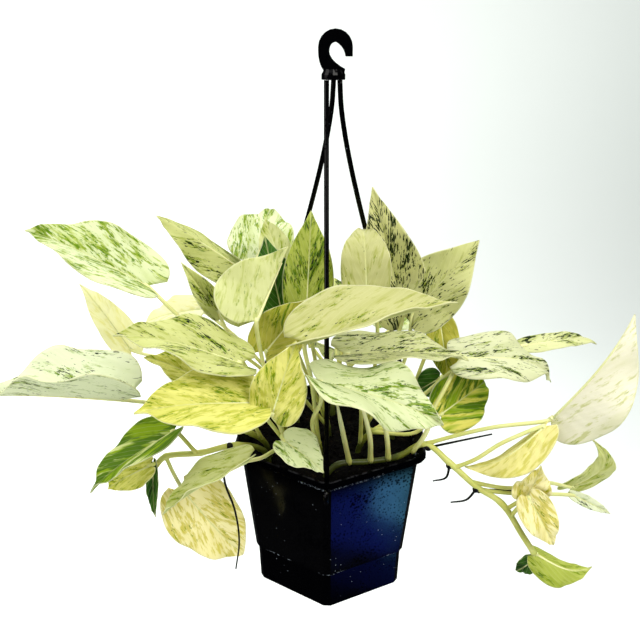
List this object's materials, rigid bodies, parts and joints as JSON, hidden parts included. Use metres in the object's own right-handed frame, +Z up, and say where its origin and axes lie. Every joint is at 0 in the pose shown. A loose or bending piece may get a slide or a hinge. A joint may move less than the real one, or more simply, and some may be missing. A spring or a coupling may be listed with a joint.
{
  "type": "potted pothos plant",
  "caption": "Trailing house plant with cream and green marbled leaves, in a black hexagonal pot that hangs from a hook by moulded strands.",
  "frame": {"origin": "centre of the pot's flat underside", "axes": "+Z up to the hook, -Y through the pot's near corner, +X to the side where the longest stem trails over the rim"},
  "size_m": [0.4164, 0.2767, 0.3765],
  "materials": {
    "plastic": "glossy moulded black polypropylene",
    "soil": "damp dark potting mix",
    "leaf": "waxy leaf, cream with green marbling"
  },
  "bodies": {
    "root": {"pot": "plastic", "hook": "plastic", "strand_front": "plastic", "strand_back_right": "plastic", "strand_back_left": "plastic", "soil": "soil", "vine_left_high": "leaf", "vine_left": "leaf", "vine_left_front": "leaf", "vine_left_trailing": "leaf", "vine_back_left": "leaf", "vine_centre": "leaf", "vine_front": "leaf", "vine_front_right": "leaf", "vine_right_trailing": "leaf", "vine_back_right": "leaf", "vine_right": "leaf", "vine_back": "leaf"}
  },
  "joints": []
}
